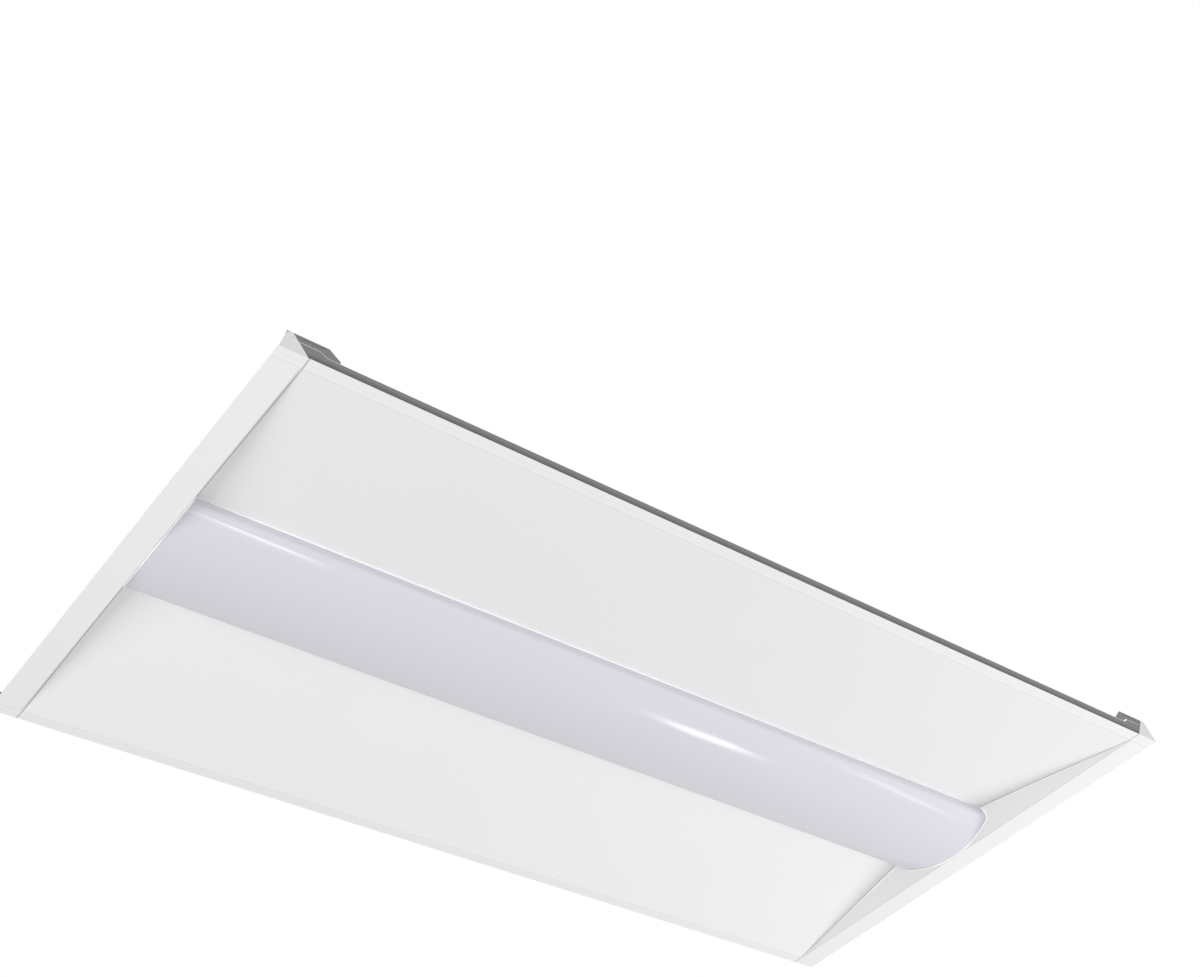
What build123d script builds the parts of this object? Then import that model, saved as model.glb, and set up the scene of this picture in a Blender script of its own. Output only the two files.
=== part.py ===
from build123d import *
import os
from math import atan, cos, pi, radians, sin, tan

# Recessed ceiling light for a 2 x 4 ft lay-in grid, with a curved lens along its middle.
# +X runs along the fixture, +Y across it and +Z up into the ceiling void. The origin is the
# middle of the flange plane, which rests on the ceiling grid. All sizes are in millimetres.

os.makedirs("parts", exist_ok=True)

# ---------------------------------------------------------------- driving dimensions
# Outline of the frame as it lies on the grid
fixture_length = 1213.0
fixture_width = 603.0
end_flange = 31.0           # flat border across each short end
side_flange = 13.7          # flat border along each long side

# Sheet metal
sheet = 0.7                 # frame sheet
box_sheet = 0.8             # driver box sheet
fold_radius = 0.9           # visible side of every fold

# Clearances
seam = 0.15                 # between two sheets of one body that lie side by side
run_gap = 0.3               # between a moving piece and what it passes
pin_gap = 0.05              # radial, hinge pin in its knuckles
hole_gap = 0.1              # radial, fastener shank in its hole

# Wings and the channel between them
channel_width = 135.0
wing_rise = 31.0            # wing edge beside the lens, above the flange plane
channel_height = 52.0       # underside of the lips that hold the tray
wing_lip = 12.0

# End plates
wedge_run = 13.8            # level distance over which the wedge climbs by wing_rise
plate_lip = 12.0            # lip under the tray
plate_lip_half = 58.0
ear_lean = 9.0              # corner ear: distance of its top from the short end
ear_top_width = 6.0
ear_height = 26.0

# Side rails with their corner posts
rail_height = 12.5
rail_leg = 10.0
rail_inset = 2.0
post_lean = 9.5             # post's outer top corner, from the short end
post_height = 26.5
shelf_height = 17.5         # step below the clip
shelf_end = 44.0            # where the step starts to fall, from the short end
shelf_foot = 51.0           # where it meets the rail

# Grid clips
clip_root = 21.0            # bend line, from the short end
clip_top_end = 54.0
clip_tip = 67.0
clip_slit = 1.3             # Z-shaped slit between a clip and its rail
clip_bead_width = 2.4       # pressed stiffening bead along a clip
clip_bead_depth = 0.3

# Gear tray
tray_lip_height = 36.0
tray_lip = 5.0
hanger_tab = 12.0           # lanced tabs for the safety wires
hanger_tab_height = 15.0
wire_hole_radius = 3.0
hanger_inset = 150.0        # from the short end
hanger_offset = 48.0        # from the centre line

# Lens
lens_wall = 1.8
lens_bottom = 0.4           # lowest line of the belly above the flange plane
belly_radius = 165.0
shoulder_width = 141.0
shoulder_height = 29.3
shoulder_radius = 3.4
shoulder_top_radius = 2.0
leg_gap = 0.4               # between a snap leg and the tray lip
leg_height = 41.0
barb_reach = 1.9
barb_height = 3.4
lens_end_gap = 0.5

# LED boards and what is on them
board_end_gap = 20.0        # from the outer end of a board to the tray's end
board_width = 20.0
board_thickness = 1.2
board_offset = 33.0         # board centre line from the fixture's
board_split = 12.0          # gap between a left and a right board
led_length = 3.5
led_width = 2.8
led_height = 0.8
led_pitch = 20.0
link_length = 26.0
link_width = 9.0
link_height = 4.6
connector_length = 10.0
connector_width = 7.0
connector_height = 5.0

# Driver box on the tray
box_length = 330.0
box_width = 104.0
box_height = 36.0
box_corner = 1.6
knockout_radius = 11.1      # half-inch trade size conduit knockout
knockout_ring = 0.6
knockout_score = 0.35
knockout_height = 17.0      # centre above the box floor
knockout_offset = 25.0
screw_tab_length = 18.0
screw_tab_depth = 11.0

# Access cover and its hinge
cover_lip = 6.0             # ends above the connectors in the knockouts
knuckle_radius = 2.2
pin_radius = 1.0
knuckle_length = 24.0
hinge_offset = 118.0        # middle of each hinge from the box's middle
cover_screw_inset = 6.5     # from the box's near wall

# LED driver
driver_length = 170.0
driver_width = 60.0
driver_height = 27.0
driver_end = 110.0
driver_centre = 9.0
driver_cap = 8.0
driver_foot = 11.0
driver_foot_thickness = 1.2
driver_edge = 3.0

# Selector switches in the box's near wall
selector_centre = 80.0
selector_height = 17.7      # centre above the box floor
selector_block_length = 44.0
selector_block_height = 16.0
selector_block_depth = 9.0
selector_window_length = 40.0
selector_window_height = 12.0
bezel_stand = 0.6
knob_pitch = 18.0
knob_travel = 4.0           # to each side of the middle position
knob_length = 3.6
knob_height = 3.0
knob_stand = 1.8
knob_base_length = 7.0
knob_base_height = 6.0
knob_base_depth = 1.4
knob_depth = 1.5            # bezel front to the base pocket

# Terminal, earth screw, grommet and leads
terminal_length = 22.0
terminal_width = 18.0
terminal_height = 11.0
terminal_start = -122.0
terminal_centre = -8.0
pole_pitch = 5.6
entry_radius = 1.5
entry_depth = 7.0
release_slot_length = 3.2
release_slot_width = 1.6
release_slot_depth = 1.5
earth_screw_x = -88.0
earth_screw_y = 36.0
lug_radius = 3.6            # ring under the earth screw
lug_thickness = 0.8
lug_neck = 2.4
lug_barrel_radius = 1.5
lug_barrel_start = 4.2      # from the screw's middle
lug_barrel_length = 5.0
lug_bore_depth = 4.0
grommet_gap = 17.0          # its middle from the driver's mounting foot
grommet_bore = 4.2
grommet_wall = 1.8
grommet_flange = 2.2
grommet_lip = 1.4
lead_radius = 0.8
lead_pitch = 2.6            # between leads in the grommet
lead_arc_share = 0.45       # of the shorter run beside a bend, taken up by its arc
output_exit_height = 13.2   # middle of the four output leads above the box floor
output_exit_pitch = 4.0
output_exit_spread = 3.0
output_straight = 10.0      # square to the driver's cap before they draw together
output_drop = 3.2           # output leads below the boards' upper face
output_spread = 2.0         # in a connector, to each side of its middle
supply_exit_height = 13.2
supply_leave_share = 0.3    # of the way from driver to terminal, run level out of the driver
supply_enter_share = 0.275  # run level into the terminal
line_exit_y = -12.0
neutral_exit_y = -7.0

# Fasteners
rivet_radius = 1.6
rivet_head_radius = 3.1
rivet_head_height = 1.1
rivet_head_taper = 42.0     # degrees, slope of the head's side
screw_radius = 1.9
screw_head_radius = 3.7
screw_head_height = 2.1
box_screw_inset_x = 16.0    # from the box's end walls
box_screw_inset_y = 6.0     # from its long walls
box_screw_tip = 1.2         # below the tray
tray_rivet_count = 7
tray_rivet_inset = 6.0      # from the tray's ends
plate_rivet_pitch = 44.0
board_rivet_inset = 15.0    # from a board's ends

# ---------------------------------------------------------------- places worked out from them
half_length = fixture_length / 2
half_width = fixture_width / 2
half_channel = channel_width / 2
wing_foot = half_width - side_flange
wedge_angle = atan(wing_rise / wedge_run)
wedge_tan = wing_rise / wedge_run
tray_top = channel_height
tray_under = tray_top - sheet
tray_half = half_channel - seam
plate_top = tray_under - sheet
wedge_top = end_flange + plate_top / wedge_tan
tray_end = half_length - wedge_top
lip_inner = tray_half - tray_lip
rail_face = half_width - sheet - seam
ledge = sheet                          # top of the flanges, where the rails stand
board_face = tray_under - board_thickness
board_start = board_split / 2
board_length = tray_end - board_end_gap - board_start
box_floor = tray_top + box_sheet
box_top = tray_top + box_height
box_half_length = box_length / 2
box_half_width = box_width / 2
cover_under = box_top + run_gap
cover_top = cover_under + box_sheet
cover_half_length = box_half_length + run_gap + box_sheet
cover_near = -(box_half_width + run_gap + box_sheet)
hinge_y = box_half_width + run_gap + knuckle_radius
hinge_z = cover_top - knuckle_radius
cover_far = box_half_width - box_sheet
screw_y = -(box_half_width - cover_screw_inset)
window_height = box_floor + selector_height
driver_start = driver_end - driver_length
grommet_x = driver_end + driver_foot + grommet_gap
terminal_end = terminal_start + terminal_length
connector_x = grommet_x - 8
connector_face = board_offset - board_width / 2 + 0.5
lug_axis = box_floor + lug_barrel_radius + hole_gap
leg_outer = lip_inner - leg_gap


# ---------------------------------------------------------------- repeated shapes
def folded_sheet(points, thickness, side=Side.LEFT):
    """Section of a sheet folded along points, its thickness to one side of them."""
    with BuildLine() as fold_line:
        FilletPolyline(*points, radius=fold_radius)
        offset(amount=thickness, side=side)
    make_face(fold_line.edges())


def outline(points):
    """Flat plate with straight edges."""
    with BuildLine() as edge_line:
        Polyline(*points, close=True)
    make_face(edge_line.edges())


def rivets(places, base, grip, up=1):
    """Low-headed rivets, head on the side that up points to, shank through grip."""
    for x, y in places:
        with BuildSketch(Plane(origin=(x, y, base), z_dir=(0, 0, up))) as head:
            Circle(rivet_head_radius)
        extrude(head.sketch, amount=rivet_head_height, taper=rivet_head_taper)
        with BuildSketch(Plane(origin=(x, y, base), z_dir=(0, 0, up))) as shank:
            Circle(rivet_radius)
        extrude(shank.sketch, amount=-grip)


def pan_screws(places, base, grip):
    """Pan head screws with a slot, standing on base with their shank below."""
    for x, y in places:
        with Locations((x, y, base + screw_head_height / 2)):
            Cylinder(screw_head_radius, screw_head_height)
        with Locations((x, y, base - grip / 2)):
            Cylinder(screw_radius, grip)
        with Locations((x, y, base + screw_head_height)):
            Box(screw_head_radius * 1.5, 0.9, 1.6, mode=Mode.SUBTRACT)


def lead(route):
    """Round lead along straight runs joined by arcs, each as wide as the runs beside it allow."""
    places = [Vector(*place) for place in route]
    radii = []
    for before, corner, after in zip(places, places[1:], places[2:]):
        arriving, leaving = corner - before, after - corner
        turn = radians(arriving.get_angle(leaving))
        radii.append(lead_arc_share * min(arriving.length, leaving.length) / tan(turn / 2))
    with BuildLine() as run:
        FilletPolyline(*route, radius=radii)
    with BuildSketch(Plane(origin=run.line @ 0, z_dir=run.line % 0)) as section:
        Circle(lead_radius)
    tube = sweep(section.sketch, path=run.line)
    filled = tube.volume / (pi * lead_radius**2 * run.wire().length)
    print("lead radii", [round(radius, 1) for radius in radii], "volume share", round(filled, 4))


# ---------------------------------------------------------------- wings
wing_length = fixture_length - 2 * end_flange
tray_rivet_pitch = 2 * (tray_end - tray_rivet_inset) / (tray_rivet_count - 1)
tray_rivet_x = [(i - (tray_rivet_count - 1) / 2) * tray_rivet_pitch for i in range(tray_rivet_count)]
tray_rivet_y = half_channel - wing_lip / 2

with BuildPart() as near_wing:
    with BuildSketch(Plane.YZ):
        folded_sheet(
            [
                (-half_width, 0),
                (-wing_foot, 0),
                (-half_channel, wing_rise),
                (-half_channel, channel_height),
                (-half_channel + wing_lip, channel_height),
            ],
            sheet,
        )
    extrude(amount=wing_length / 2, both=True)
    with Locations([(x, -tray_rivet_y, channel_height) for x in tray_rivet_x]):
        Hole(rivet_radius + hole_gap)

with BuildPart() as far_wing:
    mirror(near_wing.part, about=Plane.XZ)

# ---------------------------------------------------------------- side rails and grid clips
rail_outline = [
    (rail_inset, ledge),
    (post_lean, post_height),
    (clip_root - run_gap, post_height),
    (clip_root - run_gap, shelf_height),
    (shelf_end, shelf_height),
    (shelf_foot, rail_height),
    (shelf_foot, ledge),
]
clip_outline = [
    (clip_root, post_height),
    (clip_top_end, post_height),
    (clip_tip, rail_height + clip_slit),
    (shelf_foot + clip_slit / 2, rail_height + clip_slit),
    (shelf_end + clip_slit / 2, shelf_height + clip_slit),
    (clip_root, shelf_height + clip_slit),
]

with BuildPart() as near_side_rail:
    with BuildSketch(Plane.XZ.offset(rail_face)):
        with Locations((0, (ledge + rail_height) / 2)):
            Rectangle(fixture_length - 2 * shelf_foot, rail_height - ledge)
        for end in (-1, 1):
            outline([(end * (half_length - u), z) for u, z in rail_outline])
    extrude(amount=-sheet)
    with BuildSketch(Plane.XY.offset(ledge)):
        with Locations((0, -rail_face + rail_leg / 2)):
            Rectangle(fixture_length - 2 * rail_inset, rail_leg)
    extrude(amount=sheet)

with BuildPart() as far_side_rail:
    mirror(near_side_rail.part, about=Plane.XZ)


def grid_clip(end, side):
    """Tongue that swings out over the ceiling tee, at one corner."""
    with BuildPart() as clip:
        with BuildSketch(Plane.XZ.offset(-side * rail_face)) as face:
            outline([(end * (half_length - u), z) for u, z in clip_outline])
            fillet(face.vertices().sort_by(Axis.X)[-1 if end < 0 else 0], 1.0)
        extrude(amount=side * sheet)
        bead_middle = end * (half_length - (clip_root + clip_top_end) / 2)
        bead_level = (shelf_height + clip_slit + post_height) / 2
        with BuildSketch(Plane.XZ.offset(-side * rail_face)):
            with Locations((bead_middle, bead_level)):
                SlotOverall(clip_top_end - clip_root - 8, clip_bead_width)
        extrude(amount=side * clip_bead_depth, mode=Mode.SUBTRACT)
    return clip


near_left_clip = grid_clip(-1, -1)
near_right_clip = grid_clip(1, -1)
far_left_clip = grid_clip(-1, 1)
far_right_clip = grid_clip(1, 1)

# ---------------------------------------------------------------- end plates
plate_rivet_x = half_length - wedge_top - plate_lip / 2
plate_rivet_y = [i * plate_rivet_pitch for i in (-1, 0, 1)]
ear_outline = [
    (0, 0),
    (end_flange, 0),
    (ear_lean + ear_top_width, ear_height),
    (ear_lean, ear_height - 2.5),
]

with BuildPart() as left_end_plate:
    with BuildSketch(Plane.XZ):
        folded_sheet(
            [
                (-half_length, 0),
                (-half_length + end_flange, 0),
                (-half_length + wedge_top, plate_top),
                (-half_length + wedge_top + plate_lip, plate_top),
            ],
            sheet,
        )
    extrude(amount=wing_foot, both=True)
    with BuildSketch(Plane.YZ.offset(-half_length + end_flange)):
        for side in (-1, 1):
            outline(
                [
                    (side * half_width, 0),
                    (side * wing_foot, 0),
                    (side * half_channel, wing_rise),
                    (side * tray_half, wing_rise),
                    (side * tray_half, channel_height),
                    (side * half_width, channel_height),
                ]
            )
    extrude(amount=wedge_top + plate_lip, mode=Mode.SUBTRACT)
    with BuildSketch(Plane.XY.offset(plate_top - sheet)):
        for side in (-1, 1):
            with Locations((-half_length + wedge_top + plate_lip / 2 + 1, side * half_channel)):
                Rectangle(plate_lip + 2, 2 * (half_channel - plate_lip_half))
    extrude(amount=3 * sheet, mode=Mode.SUBTRACT)
    with BuildSketch(Plane.XY):
        for side in (-1, 1):
            with Locations((-half_length + end_flange / 2, side * (half_width - side_flange / 2))):
                Rectangle(end_flange, side_flange)
    extrude(amount=sheet)
    for side in (-1, 1):
        with BuildSketch(Plane.XZ.offset(-side * half_width)) as ear:
            outline([(-half_length + u, z) for u, z in ear_outline])
            fillet(ear.vertices().group_by(Axis.Y)[-1], 1.2)
        extrude(amount=side * sheet)
    with Locations([(-plate_rivet_x, y, plate_top) for y in plate_rivet_y]):
        Hole(rivet_radius + hole_gap)

with BuildPart() as right_end_plate:
    mirror(left_end_plate.part, about=Plane.YZ)

# ---------------------------------------------------------------- gear tray
board_rivet_x = [
    side * (board_start + board_length / 2) + end * (board_length / 2 - board_rivet_inset)
    for side in (-1, 1)
    for end in (-1, 1)
]
board_rivets_at = [(x, y * board_offset) for x in board_rivet_x for y in (-1, 1)]
box_screws_at = [
    (x * (box_half_length - box_screw_inset_x), y * (box_half_width - box_screw_inset_y))
    for x in (-1, 1)
    for y in (-1, 1)
]
hanger_x = half_length - hanger_inset

with BuildPart() as gear_tray:
    with BuildSketch(Plane.YZ):
        folded_sheet(
            [
                (-lip_inner, tray_lip_height),
                (-tray_half, tray_lip_height),
                (-tray_half, tray_top),
                (tray_half, tray_top),
                (tray_half, tray_lip_height),
                (lip_inner, tray_lip_height),
            ],
            sheet,
            Side.RIGHT,
        )
    extrude(amount=tray_end, both=True)
    for end in (-1, 1):
        for side in (-1, 1):
            with BuildSketch(Plane.XY.offset(tray_under)):
                with Locations((end * (hanger_x + hanger_tab_height / 2), side * hanger_offset)):
                    Rectangle(hanger_tab_height, hanger_tab)
            extrude(amount=sheet, mode=Mode.SUBTRACT)
            with BuildSketch(Plane.YZ.offset(end * hanger_x)) as tab:
                with Locations((side * hanger_offset, tray_under + hanger_tab_height / 2)):
                    Rectangle(hanger_tab, hanger_tab_height)
                fillet(tab.vertices().group_by(Axis.Y)[-1], 4)
                with Locations((side * hanger_offset, tray_under + hanger_tab_height - 6)):
                    Circle(wire_hole_radius, mode=Mode.SUBTRACT)
            extrude(amount=-end * sheet)
    tray_holes = (
        [(x, s * tray_rivet_y) for x in tray_rivet_x for s in (-1, 1)]
        + [(e * plate_rivet_x, y) for e in (-1, 1) for y in plate_rivet_y]
        + board_rivets_at
    )
    with Locations([(x, y, tray_top) for x, y in tray_holes]):
        Hole(rivet_radius + hole_gap, depth=2 * sheet)
    with Locations([(x, y, tray_top) for x, y in box_screws_at]):
        Hole(screw_radius + hole_gap, depth=2 * sheet)
    with Locations((grommet_x, 0, tray_top)):
        Hole(grommet_bore + grommet_wall, depth=2 * sheet)

# ---------------------------------------------------------------- lens
belly_half = shoulder_width / 2
belly_edge = lens_bottom + belly_radius - (belly_radius**2 - belly_half**2) ** 0.5

with BuildPart() as diffuser_lens:
    with BuildSketch(Plane.YZ) as lens_section:
        with BuildLine() as lens_line:
            Polyline(
                (-leg_outer, leg_height),
                (-leg_outer, shoulder_height),
                (-belly_half, shoulder_height),
                (-belly_half, belly_edge),
            )
            ThreePointArc((-belly_half, belly_edge), (0, lens_bottom), (belly_half, belly_edge))
            Polyline(
                (belly_half, belly_edge),
                (belly_half, shoulder_height),
                (leg_outer, shoulder_height),
                (leg_outer, leg_height),
            )
            offset(amount=lens_wall, side=Side.LEFT)
        make_face()
        corners = lens_section.vertices().filter_by(lambda v: abs(v.X) > belly_half - 0.01)
        fillet(corners.group_by(Axis.Y)[0], shoulder_radius)
        fillet(corners.group_by(Axis.Y)[-1], shoulder_top_radius)
        inner = lens_section.vertices().filter_by(
            lambda v: abs(abs(v.X) - belly_half + lens_wall) < 0.01
        )
        fillet(inner.group_by(Axis.Y)[0], shoulder_radius - lens_wall)
        for side in (-1, 1):
            outline(
                [
                    (side * (leg_outer - lens_wall / 2), leg_height - barb_height),
                    (side * (leg_outer + barb_reach), leg_height - barb_height),
                    (side * leg_outer, leg_height),
                    (side * (leg_outer - lens_wall / 2), leg_height),
                ]
            )
    extrude(amount=half_length - end_flange, both=True)
    for end in (-1, 1):
        cut_origin = (end * (half_length - end_flange - lens_end_gap), 0, 0)
        cut_normal = (-end * sin(wedge_angle), 0, -cos(wedge_angle))
        split(bisect_by=Plane(origin=cut_origin, z_dir=cut_normal), keep=Keep.TOP)

# ---------------------------------------------------------------- LED boards
boards = {}
for end, end_name in ((-1, "left"), (1, "right")):
    for side, side_name in ((-1, "near"), (1, "far")):
        with BuildPart() as board:
            with BuildSketch(Plane.XY.offset(board_face)):
                with Locations((end * (board_start + board_length / 2), side * board_offset)):
                    RectangleRounded(board_length, board_width, 1.5)
                with Locations([p for p in board_rivets_at if p[0] * end > 0 and p[1] * side > 0]):
                    Circle(rivet_radius + hole_gap, mode=Mode.SUBTRACT)
            extrude(amount=board_thickness)
        boards[f"led_board_{side_name}_{end_name}"] = board

led_count = int((board_length - 2 * led_pitch) / led_pitch)
with BuildPart() as led_packages:
    with BuildSketch(Plane.XY.offset(board_face)):
        for end in (-1, 1):
            for side in (-1, 1):
                for place in range(led_count):
                    led_x = (place - (led_count - 1) / 2) * led_pitch
                    with Locations((end * (board_start + board_length / 2) + led_x, side * board_offset)):
                        Rectangle(led_length, led_width)
    extrude(amount=-led_height)

with BuildPart() as board_links:
    for side in (-1, 1):
        with BuildSketch(Plane.XY.offset(board_face)):
            with Locations((0, side * board_offset)):
                Rectangle(link_length, link_width)
        extrude(amount=-link_height, taper=4)

with BuildPart() as board_connectors:
    for side in (-1, 1):
        with BuildSketch(Plane.XY.offset(board_face)):
            with Locations((connector_x, side * (connector_face + connector_width / 2))):
                Rectangle(connector_length, connector_width)
        extrude(amount=-connector_height)

# ---------------------------------------------------------------- driver box
with BuildPart() as driver_box:
    with Locations((0, 0, tray_top + box_height / 2)):
        Box(box_length, box_width, box_height)
    fillet(driver_box.edges().filter_by(Axis.Z), box_corner)
    offset(amount=-box_sheet, openings=driver_box.faces().sort_by(Axis.Z)[-1])
    # flange for the cover screw
    with BuildSketch(Plane.XY.offset(box_top)):
        with Locations((0, -box_half_width + screw_tab_depth / 2)):
            Rectangle(screw_tab_length, screw_tab_depth)
        with Locations((0, screw_y)):
            Circle(screw_radius + run_gap, mode=Mode.SUBTRACT)
    extrude(amount=-box_sheet)
    # open knockout for the supply, scored ones beside and opposite it
    with BuildSketch(Plane.YZ.offset(-box_half_length)):
        with Locations((-knockout_offset, box_floor + knockout_height)):
            Circle(knockout_radius)
    extrude(amount=box_sheet, mode=Mode.SUBTRACT)
    for end, y in ((-1, knockout_offset), (1, knockout_offset), (1, -knockout_offset)):
        with BuildSketch(Plane.YZ.offset(end * box_half_length)):
            with Locations((y, box_floor + knockout_height)):
                Circle(knockout_radius)
                Circle(knockout_radius - knockout_ring, mode=Mode.SUBTRACT)
        extrude(amount=-end * knockout_score, mode=Mode.SUBTRACT)
    # window for the selector switches
    with BuildSketch(Plane.XZ.offset(box_half_width)):
        with Locations((selector_centre, window_height)):
            RectangleRounded(selector_window_length, selector_window_height, 1.0)
    extrude(amount=-box_sheet, mode=Mode.SUBTRACT)
    with Locations([(x, y, box_floor) for x, y in box_screws_at + [(earth_screw_x, earth_screw_y)]]):
        Hole(screw_radius + hole_gap, depth=2 * box_sheet)
    with Locations((grommet_x, 0, box_floor)):
        Hole(grommet_bore + grommet_wall, depth=2 * box_sheet)
    # hinge knuckles on the far wall
    for end in (-1, 1):
        start = end * (hinge_offset + run_gap / 2)
        with BuildSketch(Plane.YZ.offset(start)):
            with Locations((hinge_y, hinge_z)):
                Circle(knuckle_radius)
            with Locations(((box_half_width + hinge_y) / 2, hinge_z - knuckle_radius + box_sheet / 2)):
                Rectangle(hinge_y - box_half_width, box_sheet)
            with Locations((hinge_y, hinge_z)):
                Circle(pin_radius + pin_gap, mode=Mode.SUBTRACT)
        extrude(amount=end * knuckle_length)

# ---------------------------------------------------------------- access cover
with BuildPart() as access_cover:
    cover_length = 2 * cover_half_length
    cover_depth = cover_far - cover_near
    with BuildSketch(Plane.XY.offset(cover_under)):
        with Locations((0, (cover_far + cover_near) / 2)):
            Rectangle(cover_length, cover_depth)
        with Locations((0, screw_y)):
            Circle(screw_radius + hole_gap, mode=Mode.SUBTRACT)
    extrude(amount=box_sheet)
    with BuildSketch(Plane.XY.offset(cover_top)):
        with Locations((0, (cover_far + cover_near) / 2)):
            Rectangle(cover_length, cover_depth)
        with Locations((0, (cover_far + cover_near) / 2 + box_sheet)):
            Rectangle(cover_length - 2 * box_sheet, cover_depth, mode=Mode.SUBTRACT)
    extrude(amount=-cover_lip)
    for end in (-1, 1):
        with BuildSketch(Plane.YZ.offset(end * (hinge_offset - run_gap / 2))):
            with Locations((hinge_y, hinge_z)):
                Circle(knuckle_radius)
            with Locations(((cover_far + hinge_y) / 2, cover_top - box_sheet / 2)):
                Rectangle(hinge_y - cover_far, box_sheet)
            with Locations((hinge_y, hinge_z)):
                Circle(pin_radius + pin_gap, mode=Mode.SUBTRACT)
        extrude(amount=-end * knuckle_length)

with BuildPart() as cover_hinge_pins:
    for end in (-1, 1):
        with BuildSketch(Plane.YZ.offset(end * (hinge_offset - knuckle_length))):
            with Locations((hinge_y, hinge_z)):
                Circle(pin_radius)
        extrude(amount=end * 2 * knuckle_length)

with BuildPart() as cover_screw:
    pan_screws([(0, screw_y)], cover_top, 5.0)

# ---------------------------------------------------------------- LED driver
driver_middle = driver_start + driver_length / 2
foot_screws_at = [(driver_start - driver_foot / 2, driver_centre), (driver_end + driver_foot / 2, driver_centre)]

with BuildPart() as driver_case:
    with Locations((driver_middle, driver_centre, box_floor + driver_height / 2)):
        Box(driver_length - 2 * driver_cap, driver_width, driver_height)
    fillet(driver_case.edges().filter_by(Axis.X).group_by(Axis.Z)[-1], driver_edge)
    with BuildSketch(Plane.XY.offset(box_floor)):
        with Locations((driver_middle, driver_centre)):
            Rectangle(driver_length + 2 * driver_foot, 16)
        with Locations(foot_screws_at):
            Circle(screw_radius + hole_gap, mode=Mode.SUBTRACT)
    extrude(amount=driver_foot_thickness)

with BuildPart() as driver_caps:
    for start, grow in ((driver_start, driver_cap), (driver_end, -driver_cap)):
        with BuildSketch(Plane.YZ.offset(start)) as cap:
            with Locations((driver_centre, box_floor + (driver_height + driver_foot_thickness) / 2 + 0.1)):
                Rectangle(driver_width - 1, driver_height - driver_foot_thickness - 0.9)
            fillet(cap.vertices().group_by(Axis.Y)[-1], driver_edge)
        extrude(amount=grow)

with BuildPart() as driver_screws:
    pan_screws(foot_screws_at, box_floor + driver_foot_thickness, driver_foot_thickness)

with BuildPart() as box_screws:
    pan_screws(box_screws_at, box_floor, box_sheet + sheet + box_screw_tip)

# ---------------------------------------------------------------- selector switches
bezel_front = box_half_width + bezel_stand
pocket_front = bezel_front - knob_depth
with BuildPart() as selector_block:
    with Locations((selector_centre, -box_half_width + box_sheet + selector_block_depth / 2, window_height)):
        Box(selector_block_length, selector_block_depth, selector_block_height)
    with BuildSketch(Plane.XZ.offset(bezel_front)):
        with Locations((selector_centre, window_height)):
            RectangleRounded(
                selector_window_length - 2 * seam,
                selector_window_height - 2 * seam,
                0.9,
            )
    extrude(amount=-(bezel_stand + box_sheet))
    for place in (-0.5, 0.5):
        knob_x = selector_centre + place * knob_pitch
        with BuildSketch(Plane.XZ.offset(bezel_front)):
            with Locations((knob_x, window_height)):
                Rectangle(knob_length + 2 * knob_travel + 2 * run_gap, knob_height + 2 * run_gap)
        extrude(amount=-knob_depth, mode=Mode.SUBTRACT)
        with BuildSketch(Plane.XZ.offset(pocket_front)):
            with Locations((knob_x, window_height)):
                Rectangle(knob_base_length + 2 * knob_travel + 2 * run_gap, knob_base_height + 2 * run_gap)
        extrude(amount=-(knob_base_depth + 2 * run_gap), mode=Mode.SUBTRACT)


def selector_knob(place):
    """Slide knob with its base behind the bezel, in the middle of its slot."""
    knob_x = selector_centre + place * knob_pitch
    with BuildPart() as knob:
        with BuildSketch(Plane.XZ.offset(pocket_front - run_gap)):
            with Locations((knob_x, window_height)):
                Rectangle(knob_base_length, knob_base_height)
        extrude(amount=-knob_base_depth)
        with BuildSketch(Plane.XZ.offset(pocket_front - run_gap)):
            with Locations((knob_x, window_height)):
                Rectangle(knob_length, knob_height)
        extrude(amount=knob_depth + run_gap + knob_stand)
    return knob


wattage_knob = selector_knob(-0.5)
colour_knob = selector_knob(0.5)

# ---------------------------------------------------------------- terminal, earth screw, grommet
pole_y = [terminal_centre + i * pole_pitch for i in (-1, 0, 1)]
pole_z = box_floor + terminal_height / 2
with BuildPart() as supply_terminal:
    with BuildSketch(Plane.XZ.offset(-(terminal_centre - terminal_width / 2))) as terminal_side:
        with Locations((terminal_start + terminal_length / 2, pole_z)):
            Rectangle(terminal_length, terminal_height)
        chamfer(terminal_side.vertices().group_by(Axis.Y)[-1], 2.5)
    extrude(amount=-terminal_width)
    for start, grow in ((terminal_start, entry_depth), (terminal_end, -entry_depth)):
        with BuildSketch(Plane.YZ.offset(start)):
            with Locations([(y, pole_z) for y in pole_y]):
                Circle(entry_radius)
        extrude(amount=grow, mode=Mode.SUBTRACT)
    with BuildSketch(Plane.XY.offset(box_floor + terminal_height)):
        for x in (terminal_start + entry_depth, terminal_end - entry_depth):
            with Locations([(x, y) for y in pole_y]):
                Rectangle(release_slot_length, release_slot_width)
    extrude(amount=-release_slot_depth, mode=Mode.SUBTRACT)

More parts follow.
